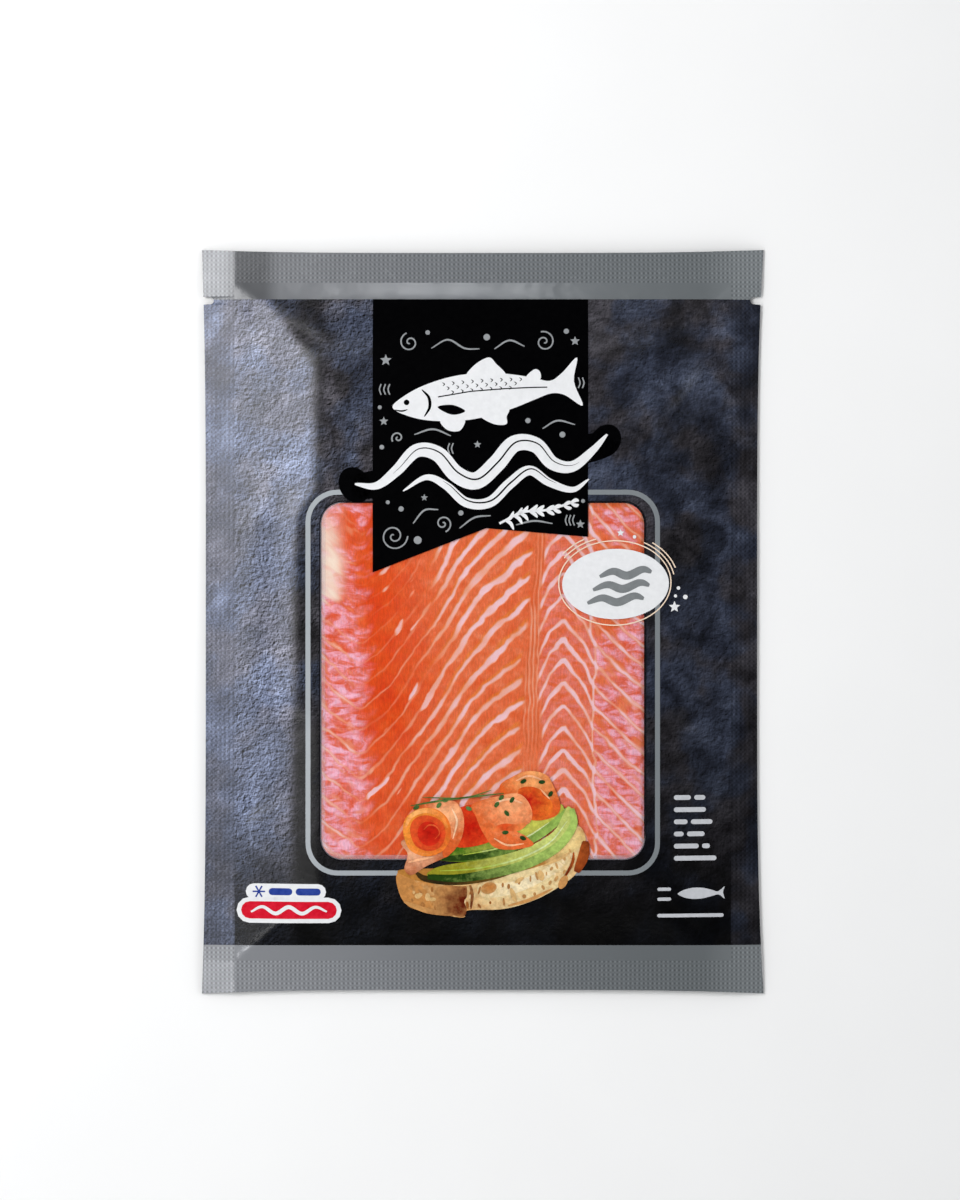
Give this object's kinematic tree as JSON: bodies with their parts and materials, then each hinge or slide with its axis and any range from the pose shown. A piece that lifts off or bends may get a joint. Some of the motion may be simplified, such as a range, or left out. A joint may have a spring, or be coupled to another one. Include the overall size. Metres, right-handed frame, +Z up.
{
  "type": "pack of smoked salmon",
  "caption": "Flat heat-sealed pouch of sliced smoked salmon, its fillet face showing through a clear rounded window in the dark printed front.",
  "frame": {"origin": "centre of the outline, on the surface the pack lies on", "axes": "+Z up out of the printed front, +Y along the length towards the top of the print, +X to the right of the print"},
  "size_m": [0.17, 0.225, 0.0072],
  "materials": {
    "pouch_film": "satin printed laminate, slate grey with silver-grey bands and pressed seals",
    "salmon_flesh": "moist orange flesh with pale lines of fat",
    "clear_film": "clear glossy film"
  },
  "bodies": {
    "root": {"pouch": "pouch_film", "salmon": "salmon_flesh", "window_film": "clear_film"}
  },
  "joints": []
}
